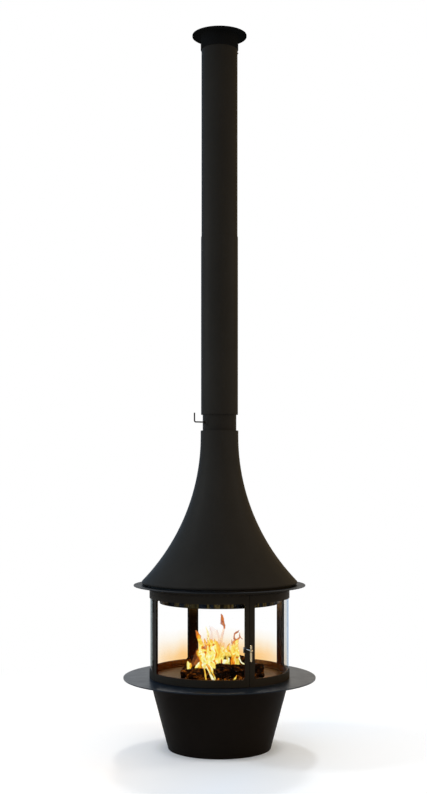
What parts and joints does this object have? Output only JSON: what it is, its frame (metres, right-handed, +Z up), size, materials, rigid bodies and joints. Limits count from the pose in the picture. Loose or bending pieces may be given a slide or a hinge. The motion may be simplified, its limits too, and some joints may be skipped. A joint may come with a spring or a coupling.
{
  "type": "central glazed fireplace",
  "caption": "Floor-standing central fireplace with a round glazed firebox, curved door, flared hood and a telescopic flue that ends in a ceiling rosette.",
  "frame": {"origin": "centre of the floor face of the pedestal", "axes": "+Z up along the flue; -Y is the front, towards the middle of the door"},
  "size_m": [1.1378, 1.138, 4.222],
  "materials": {
    "pedestal_paint": "matt black heat-proof paint",
    "plate_paint": "satin black heat-proof paint",
    "inner_steel": "matt black paint, dulled by heat",
    "control_steel": "matt grey-black paint",
    "galvanised": "zinc coated sheet",
    "ash_steel": "dark sheet with a film of ash",
    "hearth_brick": "pressed refractory slab, stained",
    "cast_grate": "rough casting, sooty",
    "log_wood": "charred split and round wood",
    "fire_steel": "bare steel, brown and straw heat tints",
    "frame_paint": "satin black heat-proof paint",
    "glass": "clear curved heat-proof glass ceramic",
    "gasket": "flat woven graphite tape",
    "rope": "knitted glass-fibre rope",
    "screws": "plain steel",
    "pipe_bolts": "black-coated steel",
    "handle_chrome": "polished",
    "boss_paint": "satin black",
    "skirt_paint": "satin black heat-proof paint",
    "hood_paint": "matt black heat-proof paint",
    "flue_paint": "matt black heat-proof paint",
    "neck_paint": "matt black heat-proof paint",
    "rosette_paint": "matt black paint"
  },
  "bodies": {
    "hearth_and_flue": {"base_plate": "inner_steel", "air_spigot": "galvanised", "pedestal_shell": "pedestal_paint", "hearth_plate": "plate_paint", "hearth_tray": "inner_steel", "ash_well": "inner_steel", "hearth_slab": "hearth_brick", "lower_hoop": "inner_steel", "upper_hoop": "inner_steel", "fire_curb": "fire_steel", "header_ring": "fire_steel", "post_front_left": "frame_paint", "post_front_right": "frame_paint", "post_back_left": "frame_paint", "post_back_right": "frame_paint", "frame_sheet": "frame_paint", "glass_left": "glass", "glass_back": "glass", "glass_right": "glass", "glass_gaskets": "gasket", "glass_ropes": "rope", "inner_strips": "fire_steel", "strip_screws": "screws", "hinge_brackets": "frame_paint", "hinge_pins": "screws", "top_ring": "frame_paint", "smoke_collar": "fire_steel", "skirt_ring": "skirt_paint", "hood_seat": "inner_steel", "hood_shell": "hood_paint", "smoke_baffle": "inner_steel", "baffle_brackets": "inner_steel", "flue_spigot": "inner_steel", "inner_pipe": "neck_paint", "flue_adapter": "inner_steel", "upper_pipe": "flue_paint", "ceiling_sleeve": "galvanised", "pipe_screws": "pipe_bolts", "ceiling_rosette": "rosette_paint"},
    "door": {"door_frame": "frame_paint", "door_glass": "glass", "door_gasket": "gasket", "door_clamp": "fire_steel", "door_seal": "rope", "door_screws": "screws", "handle_boss": "boss_paint"},
    "handle": {"handle_spindle": "handle_chrome", "handle_lever": "handle_chrome", "latch_tongue": "screws"},
    "damper": {"damper_rod": "neck_paint", "damper_blade": "control_steel", "damper_screws": "screws", "damper_clip": "screws"},
    "sleeve": {"flue_sleeve": "flue_paint", "sleeve_screws": "screws"},
    "air_control": {"air_collar": "control_steel", "air_lever": "control_steel"},
    "ash_pan": {"ash_pan": "ash_steel"},
    "grate": {"grate": "cast_grate"},
    "firewood": {"firewood": "log_wood"}
  },
  "joints": [
    {"name": "door_swing", "type": "hinge", "parent": "hearth_and_flue", "child": "door", "pos_m": [-0.30029, -0.27798, 0.641], "axis": [0, 0, -1], "range_deg": [0, 110]},
    {"name": "handle_turn", "type": "hinge", "parent": "door", "child": "handle", "pos_m": [0.28559, -0.32147, 0.641], "axis": [0.6642, -0.7476, 0], "range_deg": [0, 90]},
    {"name": "damper_turn", "type": "hinge", "parent": "hearth_and_flue", "child": "damper", "pos_m": [0, 0, 1.92644], "axis": [-0.6428, -0.766, 0], "range_deg": [0, 90]},
    {"name": "sleeve_lift", "type": "slide", "parent": "hearth_and_flue", "child": "sleeve", "axis": [0, 0, 1], "range_m": [0, 0.3]},
    {"name": "air_turn", "type": "hinge", "parent": "hearth_and_flue", "child": "air_control", "pos_m": [0, 0, 0.345], "axis": [0, 0, 1], "range_deg": [0, 30]},
    {"name": "ash_pan_lift", "type": "slide", "parent": "hearth_and_flue", "child": "ash_pan", "axis": [0, 0, 1], "range_m": [0, 0.15]},
    {"name": "grate_lift", "type": "slide", "parent": "ash_pan", "child": "grate", "axis": [0, 0, 1], "range_m": [0, 0.05]},
    {"name": "firewood_lift", "type": "slide", "parent": "grate", "child": "firewood", "axis": [0, 0, 1], "range_m": [0, 0.1]}
  ]
}
